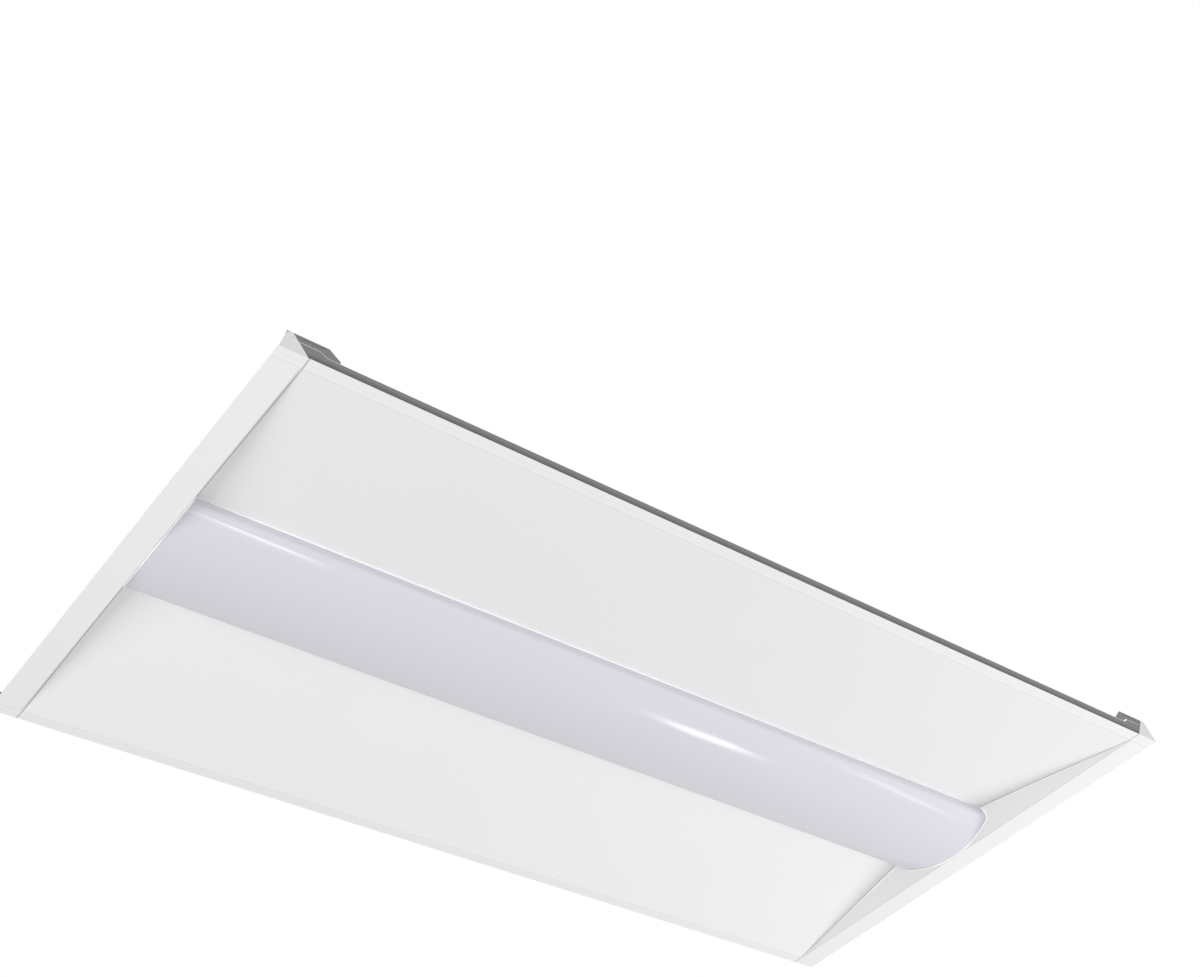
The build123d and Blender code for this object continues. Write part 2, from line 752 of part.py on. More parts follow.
with BuildPart() as earth_lug:
    with BuildSketch(Plane.XY.offset(box_floor)):
        with Locations((earth_screw_x, earth_screw_y)):
            Circle(lug_radius)
        with Locations((earth_screw_x, earth_screw_y - lug_radius)):
            Rectangle(lug_neck, 2 * (lug_barrel_start + 1 - lug_radius))
        with Locations((earth_screw_x, earth_screw_y)):
            Circle(screw_radius + hole_gap, mode=Mode.SUBTRACT)
    extrude(amount=lug_thickness)
    with BuildSketch(Plane.XZ.offset(lug_barrel_start - earth_screw_y)):
        with Locations((earth_screw_x, lug_axis)):
            Circle(lug_barrel_radius)
    extrude(amount=lug_barrel_length)
    with BuildSketch(Plane.XZ.offset(lug_barrel_start + lug_barrel_length - earth_screw_y)):
        with Locations((earth_screw_x, lug_axis)):
            Circle(lead_radius + hole_gap)
    extrude(amount=-lug_bore_depth, mode=Mode.SUBTRACT)

with BuildPart() as earth_screw:
    pan_screws([(earth_screw_x, earth_screw_y)], box_floor + lug_thickness, lug_thickness + box_sheet)

with BuildPart() as lead_grommet:
    with BuildSketch(Plane.XZ):
        outline(
            [
                (grommet_x + grommet_bore, tray_under - grommet_lip),
                (grommet_x + grommet_bore + grommet_wall + grommet_flange, tray_under - grommet_lip),
                (grommet_x + grommet_bore + grommet_wall + grommet_flange, tray_under),
                (grommet_x + grommet_bore + grommet_wall - hole_gap, tray_under),
                (grommet_x + grommet_bore + grommet_wall - hole_gap, box_floor),
                (grommet_x + grommet_bore + grommet_wall + grommet_flange, box_floor),
                (grommet_x + grommet_bore + grommet_wall + grommet_flange, box_floor + grommet_lip),
                (grommet_x + grommet_bore, box_floor + grommet_lip),
            ]
        )
    revolve(axis=Axis((grommet_x, 0, 0), (0, 0, 1)))

# ---------------------------------------------------------------- leads
entry_end = terminal_end - entry_depth
supply_gap = driver_start - terminal_end
supply_level = box_floor + supply_exit_height
lead_level = board_face - output_drop


def supply_lead(exit_y, pole):
    """Lead from the driver's left end into one pole of the terminal."""
    with BuildPart() as single:
        lead(
            [
                (driver_start, exit_y, supply_level),
                (driver_start - supply_leave_share * supply_gap, exit_y, supply_level),
                (terminal_end + supply_enter_share * supply_gap, pole_y[pole], pole_z),
                (entry_end, pole_y[pole], pole_z),
            ]
        )
    return single


line_lead = supply_lead(line_exit_y, 0)
neutral_lead = supply_lead(neutral_exit_y, 1)

with BuildPart() as earth_lead:
    lead(
        [
            (entry_end, pole_y[2], pole_z),
            (terminal_end + 6, pole_y[2], pole_z),
            (earth_screw_x + 1, earth_screw_y - 26, pole_z - 0.3),
            (earth_screw_x, earth_screw_y - 14, lug_axis),
            (earth_screw_x, earth_screw_y - lug_barrel_start - lug_barrel_length + lug_bore_depth, lug_axis),
        ]
    )


def output_leads(across):
    """Both leads of one pole, from the driver down through the grommet to the connectors."""
    exit_level = box_floor + output_exit_height + across * output_exit_pitch / 2
    drop_x = grommet_x + across * lead_pitch / 2
    with BuildPart() as pair:
        for side in (-1, 1):
            drop_y = side * lead_pitch / 2
            lead(
                [
                    (driver_end, side * output_exit_spread, exit_level),
                    (driver_end + output_straight, side * output_exit_spread, exit_level),
                    (drop_x, drop_y, exit_level),
                    (drop_x, drop_y, lead_level),
                    (connector_x + across * output_spread, side * 14, lead_level),
                    (connector_x + across * output_spread, side * connector_face, lead_level),
                ]
            )
    return pair


positive_leads = output_leads(-1)
negative_leads = output_leads(1)

# ---------------------------------------------------------------- rivets
with BuildPart() as tray_rivets:
    rivets([(x, s * tray_rivet_y) for x in tray_rivet_x for s in (-1, 1)], channel_height + sheet, 3 * sheet)

with BuildPart() as plate_rivets:
    rivets([(e * plate_rivet_x, y) for e in (-1, 1) for y in plate_rivet_y], tray_top, 3 * sheet)

with BuildPart() as board_rivets:
    rivets(board_rivets_at, board_face, board_thickness + sheet, up=-1)

# ---------------------------------------------------------------- write the pieces
pieces = {
    "near_wing": near_wing,
    "far_wing": far_wing,
    "near_side_rail": near_side_rail,
    "far_side_rail": far_side_rail,
    "near_left_clip": near_left_clip,
    "near_right_clip": near_right_clip,
    "far_left_clip": far_left_clip,
    "far_right_clip": far_right_clip,
    "left_end_plate": left_end_plate,
    "right_end_plate": right_end_plate,
    "gear_tray": gear_tray,
    "diffuser_lens": diffuser_lens,
    **boards,
    "led_packages": led_packages,
    "board_links": board_links,
    "board_connectors": board_connectors,
    "driver_box": driver_box,
    "access_cover": access_cover,
    "cover_hinge_pins": cover_hinge_pins,
    "cover_screw": cover_screw,
    "driver_case": driver_case,
    "driver_caps": driver_caps,
    "driver_screws": driver_screws,
    "box_screws": box_screws,
    "selector_block": selector_block,
    "wattage_knob": wattage_knob,
    "colour_knob": colour_knob,
    "supply_terminal": supply_terminal,
    "earth_lug": earth_lug,
    "earth_screw": earth_screw,
    "lead_grommet": lead_grommet,
    "line_lead": line_lead,
    "neutral_lead": neutral_lead,
    "earth_lead": earth_lead,
    "positive_leads": positive_leads,
    "negative_leads": negative_leads,
    "tray_rivets": tray_rivets,
    "plate_rivets": plate_rivets,
    "board_rivets": board_rivets,
}
for name, piece in pieces.items():
    piece.part.label = name
    export_step(piece.part, f"parts/{name}.step")
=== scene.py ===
from math import asin, cos, pi, radians, sin, sqrt

import bmesh
import bpy
from bpy.props import FloatProperty, FloatVectorProperty, PointerProperty
from mathutils import Matrix, Vector


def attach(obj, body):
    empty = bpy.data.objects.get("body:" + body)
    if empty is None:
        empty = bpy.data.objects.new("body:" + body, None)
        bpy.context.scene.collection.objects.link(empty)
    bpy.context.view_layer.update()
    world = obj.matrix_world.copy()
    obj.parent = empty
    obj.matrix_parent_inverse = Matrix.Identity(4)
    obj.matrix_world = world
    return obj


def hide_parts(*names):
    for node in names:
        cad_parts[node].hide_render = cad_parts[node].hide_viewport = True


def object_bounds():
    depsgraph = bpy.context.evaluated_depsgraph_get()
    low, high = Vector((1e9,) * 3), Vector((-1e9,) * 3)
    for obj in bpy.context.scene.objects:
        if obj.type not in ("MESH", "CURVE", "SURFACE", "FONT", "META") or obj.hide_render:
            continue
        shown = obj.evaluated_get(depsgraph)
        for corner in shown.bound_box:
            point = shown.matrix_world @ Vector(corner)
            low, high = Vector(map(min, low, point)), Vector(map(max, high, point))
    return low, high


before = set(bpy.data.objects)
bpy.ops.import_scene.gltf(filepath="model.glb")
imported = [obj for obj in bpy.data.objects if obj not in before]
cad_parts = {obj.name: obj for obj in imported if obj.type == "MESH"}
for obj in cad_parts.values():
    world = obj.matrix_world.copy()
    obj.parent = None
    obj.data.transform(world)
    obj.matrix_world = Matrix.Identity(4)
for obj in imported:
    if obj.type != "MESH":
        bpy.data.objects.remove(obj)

bl_info = {
    "name": "Lay-in Ceiling Light Dressing",
    "version": (1, 0, 0),
    "blender": (4, 5, 0),
    "location": "View3D > Sidebar > Ceiling Light",
    "description": "Finishes the pieces of a recessed ceiling light and sets up its studio",
    "category": "Object",
}

CAD_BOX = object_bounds()
MM = 0.001
SIDES = ("near", "far")
ENDS = ("left", "right")

# Lines of the frame, as the CAD pieces have them
SIDE_FOLD = 287.8 * MM        # fold between a side flange and its wing, from the centre line
END_FOLD = 575.5 * MM         # fold between an end flange and its wall, from the middle
WALL_RUN = 13.8 * MM          # level distance over which an end wall climbs
WING_RISE = 31.0 * MM         # height of a wing where it meets the channel
CHANNEL_HALF = 67.5 * MM      # half of the channel between the wings

# Painted shade line, where the sheet has no step
SIDE_LINE = 295.0 * MM        # faint line along a side flange, from the centre line

# Lens section and ends
LENS_HALF = 70.5 * MM         # half of the lens across its shoulders
LENS_BOTTOM = 0.4 * MM        # lowest line of the lens
LENS_WALL = 1.8 * MM
SHOULDER_TOP = 29.3 * MM      # upper side of the lens shoulders
LEG_OUTER = 61.95 * MM        # outer face of a snap leg
LEG_TOP = 41.0 * MM
LEG_POINTS = 4                # last points of a half section, which make its leg
BARB_HEIGHT = 3.4 * MM
BARB_REACH = 1.9 * MM
BELLY_RADIUS = 165.0 * MM
BELLY_STEPS = 28              # faces from the middle of the belly to a corner
CORNER_STEPS = 6              # faces round a corner
LENS_END = 575.0 * MM         # end of the lens in the flange plane, from the middle
LENS_IOR = 1.49

# Meshes
WELD_REACH = 0.002 * MM       # corners of a CAD mesh nearer than this become one
LENS_WELD_REACH = 0.001 * MM
ROUNDED_ANGLE = radians(40)   # edges sharper than this are rounded
ROUNDED_STEPS = 2
SHARP_ANGLE = radians(35)     # edges of the lens flatter than this are shaded smooth
BOARD_EDGE = 0.05 * MM        # rounding of the boards' cut edges
PACKAGE_EDGE = 0.1 * MM
CASE_EDGE = 0.3 * MM
MOULDED_EDGE = 0.15 * MM      # rounding of the mouldings and of the leads' ends

# Beads of the hems and rims
BEAD_SIDES = 8
BEAD_HELPER = Vector((0.31, 0.17, 0.93))    # a direction along which no bead runs
HEM_INSET = 1.9 * MM          # middle of a wing's hem, inside the lens's side
BORDER_SHARE = 0.6            # radius of the border's hem, as a share of the hem radius
GROOVE_SHARE = 1.3            # the same for the hem in the groove beside the lens
WALL_SHARE = 1.25             # the same for the hem on an end wall, at the lens
WALL_TAPER = 0.15             # and what is left of it where the wall starts
WALL_START = 0.2              # height at which that hem starts, in hem radii
WALL_OUTWARD = 0.4            # how far its end lies outward of the wall's upper edge, in hem radii
BORDER_INSET = 1.1            # middle of the border's hem inside the border, in its own radii

# Stage
FLOOR_RADIUS = 12.0
FLOOR_DROP = 1 * MM           # floor below the flange plane
FADE_START = 0.9              # where the floor starts to fade into white, from the middle
FADE_END = 2.6
SENSOR_WIDTH = 36.0
SOFTBOXES = {                 # place, width and the setting with the power
    "left_softbox": ((-3.2, -1.2, -1.8), 2.0, "left_power"),
    "right_softbox": ((2.4, -0.8, -1.7), 1.6, "right_power"),
    "top_softbox": ((0.7, -1.1, 3.2), 2.4, "top_power"),
}
GLINTS = {                    # start, end, height and share of the glint setting
    "left_glint": ((0.110, -0.197, -1.865), (0.391, -0.097, -1.816), 0.08, 1.2),
    "middle_glint": ((1.225, 0.491, -1.530), (1.425, 0.429, -1.488), 0.15, 1.0),
    "right_glint": ((1.646, -0.135, -1.483), (1.912, 0.056, -1.406), 0.05, 0.5),
}


# ------------------------------------------------------------------ sizes and colours a user would change
def colour_property(name, description, default):
    """A colour with its name in the sidebar."""
    return FloatVectorProperty(
        name=name, description=description, subtype="COLOR", size=3, min=0, max=1, default=default
    )


def length_property(name, description, default):
    """A length in metres with its name in the sidebar."""
    return FloatProperty(
        name=name, description=description, unit="LENGTH", precision=6, min=0, default=default
    )


def share_property(name, description, default):
    """A share from 0 to 1 with its name in the sidebar."""
    return FloatProperty(
        name=name, description=description, subtype="FACTOR", min=0, max=1, default=default
    )


def power_property(name, description, default):
    """A lamp's power in watts with its name in the sidebar."""
    return FloatProperty(name=name, description=description, unit="POWER", min=0, default=default)


def place_property(name, description, default):
    """A point with its name in the sidebar."""
    return FloatVectorProperty(
        name=name, description=description, subtype="TRANSLATION", size=3, default=default
    )


class PaintSettings(bpy.types.PropertyGroup):
    """White powder coat of the frame, the tray and the driver box."""

    colour: colour_property("Coat", "Colour of the powder coat", (0.82, 0.82, 0.82))
    roughness: share_property("Roughness", "Roughness of the powder coat", 0.42)
    peel_width: length_property("Peel width", "Width of one dimple in the coat", 1.1 * MM)
    peel_depth: length_property("Peel depth", "Depth of the dimples in the coat", 0.02 * MM)
    edge_radius: length_property("Edge radius", "Rounding of cut sheet edges", 0.12 * MM)
    # Fold line: width of the painted shade line drawn in each fold of the frame
    line_width: length_property("Fold line", "Width of the dark line in a fold", 1.1 * MM)
    # The hems' paler colour and their glow are painted highlight
    hem_colour: colour_property("Hem", "Colour of the rolled edges", (0.97, 0.97, 0.97))
    hem_radius: length_property("Hem radius", "Radius of the rolled edges", 0.8 * MM)
    hem_painted_glow: share_property("Hem glow", "Glow that keeps the hems pale in the shade", 0.14)


class SteelSettings(bpy.types.PropertyGroup):
    """Grey coated steel of the side rails and grid clips, and bright zinc on the fasteners."""

    rail_colour: colour_property("Rail", "Colour of the side rails", (0.20, 0.20, 0.205))
    rail_roughness: share_property("Rail roughness", "Roughness of the side rails", 0.45)
    # Painted shadow: the rail is darker towards its foot
    foot_shadow_height: length_property("Foot", "Height of the rail's darker foot", 9 * MM)
    zinc_colour: colour_property("Zinc", "Colour of the plated fasteners", (0.62, 0.63, 0.65))
    spangle_width: length_property("Spangle", "Width of one zinc crystal", 2.25 * MM)


class LensSettings(bpy.types.PropertyGroup):
    """Milky extruded lens."""

    colour: colour_property("Lens", "Colour of the milky plastic", (0.66, 0.65, 0.71))
    roughness: share_property("Roughness", "Roughness of the lens", 0.12)
    line_width: length_property(
        "Draw lines", "Spacing of the faint lines left by the die", 2.5 * MM
    )
    line_depth: length_property("Draw line depth", "Depth of those lines", 0.004 * MM)
    shoulder_radius: length_property("Shoulder", "Rounding from the belly to the side", 7 * MM)
    top_radius: length_property("Shoulder top", "Rounding from the side to the upper edge", 4 * MM)
    # The rims' paler colour and their glow are painted highlight along the lens ends
    rim_colour: colour_property(
        "Rim", "Colour of the polished rims at the lens ends", (0.97, 0.97, 0.98)
    )
    rim_radius: length_property("Rim radius", "Radius of the rims at the lens ends", 1.0 * MM)
    rim_painted_glow: share_property("Rim glow", "Light that the plastic leads to its rims", 0.12)


class GearSettings(bpy.types.PropertyGroup):
    """Boards, driver, wiring and mouldings."""

    board_colour: colour_property("Board", "Colour of the solder mask", (0.80, 0.80, 0.77))
    phosphor_colour: colour_property("Phosphor", "Colour of the LED gel", (0.83, 0.66, 0.18))
    nylon_colour: colour_property("Nylon", "Colour of the connectors", (0.78, 0.76, 0.68))
    black_colour: colour_property(
        "Black moulding", "Colour of the black mouldings", (0.025, 0.025, 0.027)
    )
    white_colour: colour_property(
        "White moulding", "Colour of the white mouldings", (0.78, 0.78, 0.76)
    )
    case_colour: colour_property(
        "Driver case", "Colour of the driver's aluminium", (0.70, 0.71, 0.72)
    )
    green_colour: colour_property(
        "Earth green", "Colour of the earth screw and lead", (0.04, 0.30, 0.09)
    )
    red_colour: colour_property(
        "Positive red", "Colour of the positive leads", (0.45, 0.03, 0.02)
    )
    grain_width: length_property("Grain width", "Width of the mouldings' surface grain", 0.35 * MM)
    grain_depth: length_property("Grain depth", "Depth of the mouldings' surface grain", 0.01 * MM)


class StageSettings(bpy.types.PropertyGroup):
    """Floor, background, lamps and camera."""

    floor_colour: colour_property("Floor", "Colour of the floor", (0.86, 0.86, 0.86))
    ambient: FloatProperty(
        name="Ambient", description="Strength of the even light", min=0, default=0.46
    )
    left_power: power_property("Left lamp", "Power of the soft lamp off the left end", 79.0)
    right_power: power_property("Right lamp", "Power of the soft lamp off the right end", 52.0)
    top_power: power_property("Top lamp", "Power of the soft lamp above", 60.0)
    glint: FloatProperty(
        name="Glint", description="Brightness of the strip lamps", min=0, default=9.0
    )
    camera_place: place_property(
        "Camera", "Where the camera stands", (-1.1591, -1.2108, -1.2049)
    )
    camera_aim: place_property(
        "Aim", "Point of the flange plane on the camera's axis", (-0.2882, -0.1595, 0.0)
    )
    camera_roll: FloatProperty(
        name="Roll", description="Tilt of the camera about its axis", subtype="ANGLE",
        default=radians(-6.33),
    )
    focal_length: FloatProperty(
        name="Focal length", description="Focal length on a 36 mm wide sensor", min=1,
        default=54.34,
    )
    shift: FloatVectorProperty(
        name="Shift", description="Shift of the picture's frame", size=2, default=(0.10, 0.0596)
    )


# ------------------------------------------------------------------ materials
class Signal:
    """One output socket. Arithmetic on it adds Math nodes, and | takes the larger of two."""

    def __init__(self, finish, socket):
        self.finish = finish
        self.socket = socket

    def maths(self, operation, first, second):
        return self.finish.node("ShaderNodeMath", {"operation": operation}, {0: first, 1: second})

    def __add__(self, other):
        return self.maths("ADD", self, other)

    def __sub__(self, other):
        return self.maths("SUBTRACT", self, other)

    def __rsub__(self, other):
        return self.maths("SUBTRACT", other, self)

    def __mul__(self, other):
        return self.maths("MULTIPLY", self, other)

    def __gt__(self, other):
        return self.maths("GREATER_THAN", self, other)

    def __lt__(self, other):
        return self.maths("LESS_THAN", self, other)

    def __or__(self, other):
        return self.maths("MAXIMUM", self, other)

    def __abs__(self):
        return self.finish.node("ShaderNodeMath", {"operation": "ABSOLUTE"}, {0: self})

    __radd__ = __add__
    __rmul__ = __mul__


class Finish:
    """The node tree of one new material, or of a new world."""

    def __init__(self, name, owners=None):
        self.owner = (bpy.data.materials if owners is None else owners).new(name)
        self.owner.use_nodes = True
        self.tree = self.owner.node_tree
        self.tree.nodes.clear()

    def node(self, kind, settings=None, sockets=None, output=0):
        """Adds a node: its settings first, then the values or links of its sockets."""
        made = self.tree.nodes.new(kind)
        for name, value in (settings or {}).items():
            setattr(made, name, value)
        for name, value in (sockets or {}).items():
            if isinstance(value, Signal):
                self.tree.links.new(value.socket, made.inputs[name])
            else:
                made.inputs[name].default_value = value
        return Signal(self, made.outputs[output]) if made.outputs else None

    def place(self, stretch=(1, 1, 1)):
        """Coordinates that ride with the piece, stretched by a factor on each axis."""
        own = self.node("ShaderNodeTexCoord", output="Object")
        return self.node("ShaderNodeVectorMath", {"operation": "MULTIPLY"}, {0: own, 1: stretch})

    def noise(self, width, detail=2, stretch=(1, 1, 1)):
        """Cloudy pattern from 0 to 1 whose clouds are about width metres across."""
        return self.node(
            "ShaderNodeTexNoise", None,
            {"Vector": self.place(stretch), "Scale": 1 / width, "Detail": detail, "Roughness": 0.55},
        )

    def drawn(self, width, detail, stretch=0.02):
        """Cloudy pattern drawn out along X, as rolling, brushing or a die leaves it."""
        return self.noise(width, detail, (stretch, 1, 1))

    def crystals(self, width):
        """A number from 0 to 1 for each crystal about width metres across."""
        cells = self.node(
            "ShaderNodeTexVoronoi", None, {"Vector": self.place(), "Scale": 1 / width}, "Color"
        )
        return self.node("ShaderNodeSeparateColor", None, {0: cells})

    def blend(self, share, first, second):
        """Colour that goes from first to second as share goes from 0 to 1."""
        return self.node(
            "ShaderNodeMix", {"data_type": "RGBA"}, {0: share, 6: first, 7: second}, output=2
        )

    def shades(self, colour, pattern, low, high):
        """Colour that goes from low to high times itself as pattern goes from 0 to 1."""
        return self.blend(pattern, rgba(colour, low), rgba(colour, high))

    def spread(self, middle, reach, pattern):
        """Number within reach of middle that follows pattern."""
        return middle - reach + 2 * reach * pattern

    def along(self, axis):
        """Distance from the middle of the piece's frame along one axis, always positive."""
        return abs(self.node("ShaderNodeSeparateXYZ", None, {0: self.place()}, axis))

    def line(self, distance, width):
        """1 where distance is 0, falling to 0 over half of width on both sides."""
        return self.node(
            "ShaderNodeMapRange", None,
            {"Value": abs(distance), "From Min": 0.0, "From Max": width / 2,
             "To Min": 1.0, "To Max": 0.0},
        )

    def bump(self, height, depth, strength):
        """Normal of a surface that rises by depth metres where height goes from 0 to 1."""
        return self.node(
            "ShaderNodeBump", None, {"Height": height, "Distance": depth, "Strength": strength}
        )

    def surface(self, **sockets):
        """Ends the tree in one Principled shader and returns the material."""
        named = {name.replace("_", " "): value for name, value in sockets.items()}
        shader = self.node("ShaderNodeBsdfPrincipled", None, named)
        self.node("ShaderNodeOutputMaterial", None, {"Surface": shader})
        return self.owner


def rgba(colour, factor=1.0):
    """Colour with an alpha of 1, made lighter or darker by a factor."""
    return (*(min(1.0, c * factor) for c in colour), 1.0)


def fold_shade(finish, width):
    """Painted shade: dark lines in each fold, along the side flanges and on the wings behind the end
    walls' upper edges, from 0 on the flat sheet to 1.
    """
    x, y = finish.along(0), finish.along(1)
    wall_top = END_FOLD - (SIDE_FOLD - y) * (WALL_RUN / (SIDE_FOLD - CHANNEL_HALF))
    # Painted shade in the fold between each side flange and its wing
    side_fold = finish.line(y - SIDE_FOLD, width) * 0.28
    # Painted shade line standing for a step that the sheet doesn't have
    side_line = finish.line(y - SIDE_LINE, width) * 0.10
    # Painted shade in the fold between each end flange and its wall
    end_fold = finish.line(x - END_FOLD - width / 2, width) * (y < SIDE_FOLD) * 0.5
    # Painted shadow on the wings behind each end wall's upper edge
    wall_edge_shadow = finish.line(wall_top - x - 1.3 * width, width * 2) * 0.75
    return side_fold + side_line + end_fold + wall_edge_shadow


def powder_coat(settings, name, fold_shade_lines=False):
    """Satin white coat: fine peel, slow drift in tone, specks of dust and, when asked for, dark fold
    lines of painted shade.
    """
    finish = Finish(name)
    drift = finish.noise(220 * MM, detail=3)
    dust = finish.noise(0.7 * MM, detail=1) > 0.80
    peel = finish.noise(settings.peel_width)
    tone = finish.shades(settings.colour, drift, 0.985, 1.01)
    tone = finish.blend(dust * 0.12, tone, rgba(settings.colour, 0.72))
    if fold_shade_lines:
        # Painted shade along the fold lines and behind the end walls' upper edges
        shade = fold_shade(finish, settings.line_width)
        tone = finish.blend(shade, tone, rgba(settings.colour, 0.25))
    return finish.surface(
        Base_Color=tone,
        Roughness=finish.spread(settings.roughness, 0.05, finish.noise(30 * MM, detail=3)),
        Normal=finish.bump(peel, settings.peel_depth, 0.6),
    )


def hem_coat(settings):
    """Coat on the rolled edges: thicker and smoother, with a paler colour and a faint glow that are
    painted highlight and keep the hems pale in the shade.
    """
    finish = Finish("hem_coat")
    drift = finish.noise(50 * MM)
    tone = finish.shades(settings.hem_colour, drift, 0.97, 1.0)
    return finish.surface(
        Base_Color=tone,
        Roughness=finish.spread(0.33, 0.03, drift),
        # Painted highlight: the hems glow though they are no lamp
        Emission_Color=tone,
        Emission_Strength=settings.hem_painted_glow,
        Normal=finish.bump(finish.noise(settings.peel_width), settings.peel_depth, 0.3),
    )


def rail_steel(settings):
    """Dull grey coated strip with rolling lines along it and a painted shadow at its foot."""
    finish = Finish("rail_steel")
    rolled = finish.drawn(2 * MM, detail=4)
    cloud = finish.noise(40 * MM, detail=3)
    # Painted shadow of the gap between the rail and the flange, darkest at the bottom
    foot = finish.line(finish.along(2), settings.foot_shadow_height * 2)
    tone = finish.shades(settings.rail_colour, rolled, 0.85, 1.2)
    tone = finish.blend(cloud * 0.3, tone, rgba(settings.rail_colour, 1.35))
    tone = finish.blend(foot, tone, rgba(settings.rail_colour, 0.3))
    return finish.surface(
        Base_Color=tone,
        Metallic=0.55,
        Roughness=finish.spread(settings.rail_roughness, 0.1, rolled),
        Normal=finish.bump(rolled, 0.015 * MM, 0.5),
    )


def zinc_plate(settings):
    """Bright plating with faint crystals."""
    finish = Finish("zinc_plate")
    crystal = finish.crystals(settings.spangle_width)
    return finish.surface(
        Base_Color=finish.shades(settings.zinc_colour, crystal * 0.6, 0.88, 1.12),
        Metallic=1.0,
        Roughness=finish.spread(0.31, 0.07, finish.noise(1.5 * MM, detail=3)),
        Normal=finish.bump(finish.noise(0.4 * MM), 0.006 * MM, 0.5),
    )


def milky_plastic(settings):
    """Slightly glossy milky sheet with faint lines from the die along it."""
    finish = Finish("milky_plastic")
    lines = finish.drawn(settings.line_width, detail=3, stretch=0.01)
    return finish.surface(
        Base_Color=finish.shades(settings.colour, finish.noise(350 * MM), 0.985, 1.015),
        Roughness=finish.spread(settings.roughness, 0.02, finish.noise(20 * MM, detail=3)),
        IOR=LENS_IOR,
        Normal=finish.bump(lines, settings.line_depth, 0.5),
    )


def polished_rim(settings):
    """Milky plastic where the saw's edge is polished, paler than the sheet and glowing: a painted
    highlight along the lens ends.
    """
    finish = Finish("polished_rim")
    tone = finish.shades(settings.rim_colour, finish.noise(4 * MM), 0.98, 1.02)
    return finish.surface(
        Base_Color=tone,
        Roughness=finish.spread(0.21, 0.03, finish.noise(1.5 * MM)),
        IOR=LENS_IOR,
        # Painted highlight: the rims glow though the lens is no lamp
        Emission_Color=tone,
        Emission_Strength=settings.rim_painted_glow,
    )


def moulding(name, colour, grain_width, grain_depth, roughness):
    """Moulded plastic or rubber with a fine grain."""
    finish = Finish(name)
    grain = finish.noise(grain_width)
    return finish.surface(
        Base_Color=finish.shades(colour, finish.noise(12 * MM), 0.95, 1.05),
        Roughness=finish.spread(roughness, 0.06, grain),
        Normal=finish.bump(grain, grain_depth, 0.6),
    )


def insulation(name, colour):
    """Smooth extruded insulation, slightly wavy."""
    finish = Finish(name)
    wave = finish.noise(3 * MM)
    return finish.surface(
        Base_Color=finish.shades(colour, wave, 0.92, 1.08),
        Roughness=finish.spread(0.30, 0.04, wave),
        Normal=finish.bump(wave, 0.03 * MM, 0.4),
    )


def board_mask(settings):
    """White solder mask over wide copper tracks, whose edges show as faint steps."""
    finish = Finish("board_mask")
    across = finish.node(
        "ShaderNodeTexWave", {"bands_direction": "Y", "wave_profile": "TRI"},
        {"Vector": finish.place(), "Scale": 28.0, "Distortion": 0.0}, "Fac",
    )
    track = across > 0.55
    return finish.surface(
        Base_Color=finish.shades(settings.board_colour, track * 0.35, 1.0, 0.90),
        Roughness=finish.spread(0.40, 0.05, finish.noise(2 * MM)),
        Normal=finish.bump(track, 0.03 * MM, 0.4),
    )


def led_gel(settings):
    """Yellow silicone in the packages, paler at their rims."""
    finish = Finish("led_gel")
    rim = finish.noise(0.9 * MM, detail=1)
    tone = finish.blend(rim * 0.4, rgba(settings.phosphor_colour), (0.9, 0.86, 0.62, 1))
    return finish.surface(Base_Color=tone, Roughness=finish.spread(0.27, 0.05, rim))


def satin_aluminium(settings):
    """Extruded case with brushing along it."""
    finish = Finish("satin_aluminium")
    brushed = finish.drawn(0.8 * MM, detail=4)
    return finish.surface(
        Base_Color=finish.shades(settings.case_colour, brushed, 0.9, 1.1),
        Metallic=0.9,
        Roughness=finish.spread(0.40, 0.06, brushed),
        Normal=finish.bump(brushed, 0.01 * MM, 0.5),
    )


# ------------------------------------------------------------------ pieces
def cover_with(nodes, material, edge_radius):
    """Gives nodes their finish, and rounds their edges a little so that they catch the light."""
    for node in nodes:
        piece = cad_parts[node]
        piece.data.materials.clear()
        piece.data.materials.append(material)
        weld = piece.modifiers.new("joined faces", "WELD")
        weld.merge_threshold = WELD_REACH
        rounding = piece.modifiers.new("rounded edges", "BEVEL")
        rounding.width = edge_radius
        rounding.segments = ROUNDED_STEPS
        rounding.limit_method = "ANGLE"
        rounding.angle_limit = ROUNDED_ANGLE
        rounding.harden_normals = True


def new_piece(name, mesh, material, body):
    """A piece of its own, which rides on a body."""
    piece = bpy.data.objects.new(name, mesh)
    bpy.context.scene.collection.objects.link(piece)
    mesh.materials.append(material)
    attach(piece, body)
    return piece


def mesh_of(name, shape):
    """Mesh with the faces of shape, which is used up."""
    mesh = bpy.data.meshes.new(name)
    shape.to_mesh(mesh)
    shape.free()
    return mesh


def bead(shape, points, radii):
    """Adds a thin round bead that follows points to a mesh, with closed ends."""
    rings = []
    turns = [2 * pi * k / BEAD_SIDES for k in range(BEAD_SIDES)]
    for i, (point, radius) in enumerate(zip(points, radii)):
        before, after = points[max(i - 1, 0)], points[min(i + 1, len(points) - 1)]
        along = (after - before).normalized()
        across = along.cross(BEAD_HELPER).normalized()
        up = along.cross(across)
        rings.append([
            shape.verts.new(point + (across * cos(turn) + up * sin(turn)) * radius)
            for turn in turns
        ])
    for first, second in zip(rings, rings[1:]):
        for k in range(BEAD_SIDES):
            after = (k + 1) % BEAD_SIDES
            face = shape.faces.new((first[k], first[after], second[after], second[k]))
            face.smooth = True
    shape.faces.new(reversed(rings[0]))
    shape.faces.new(rings[-1])


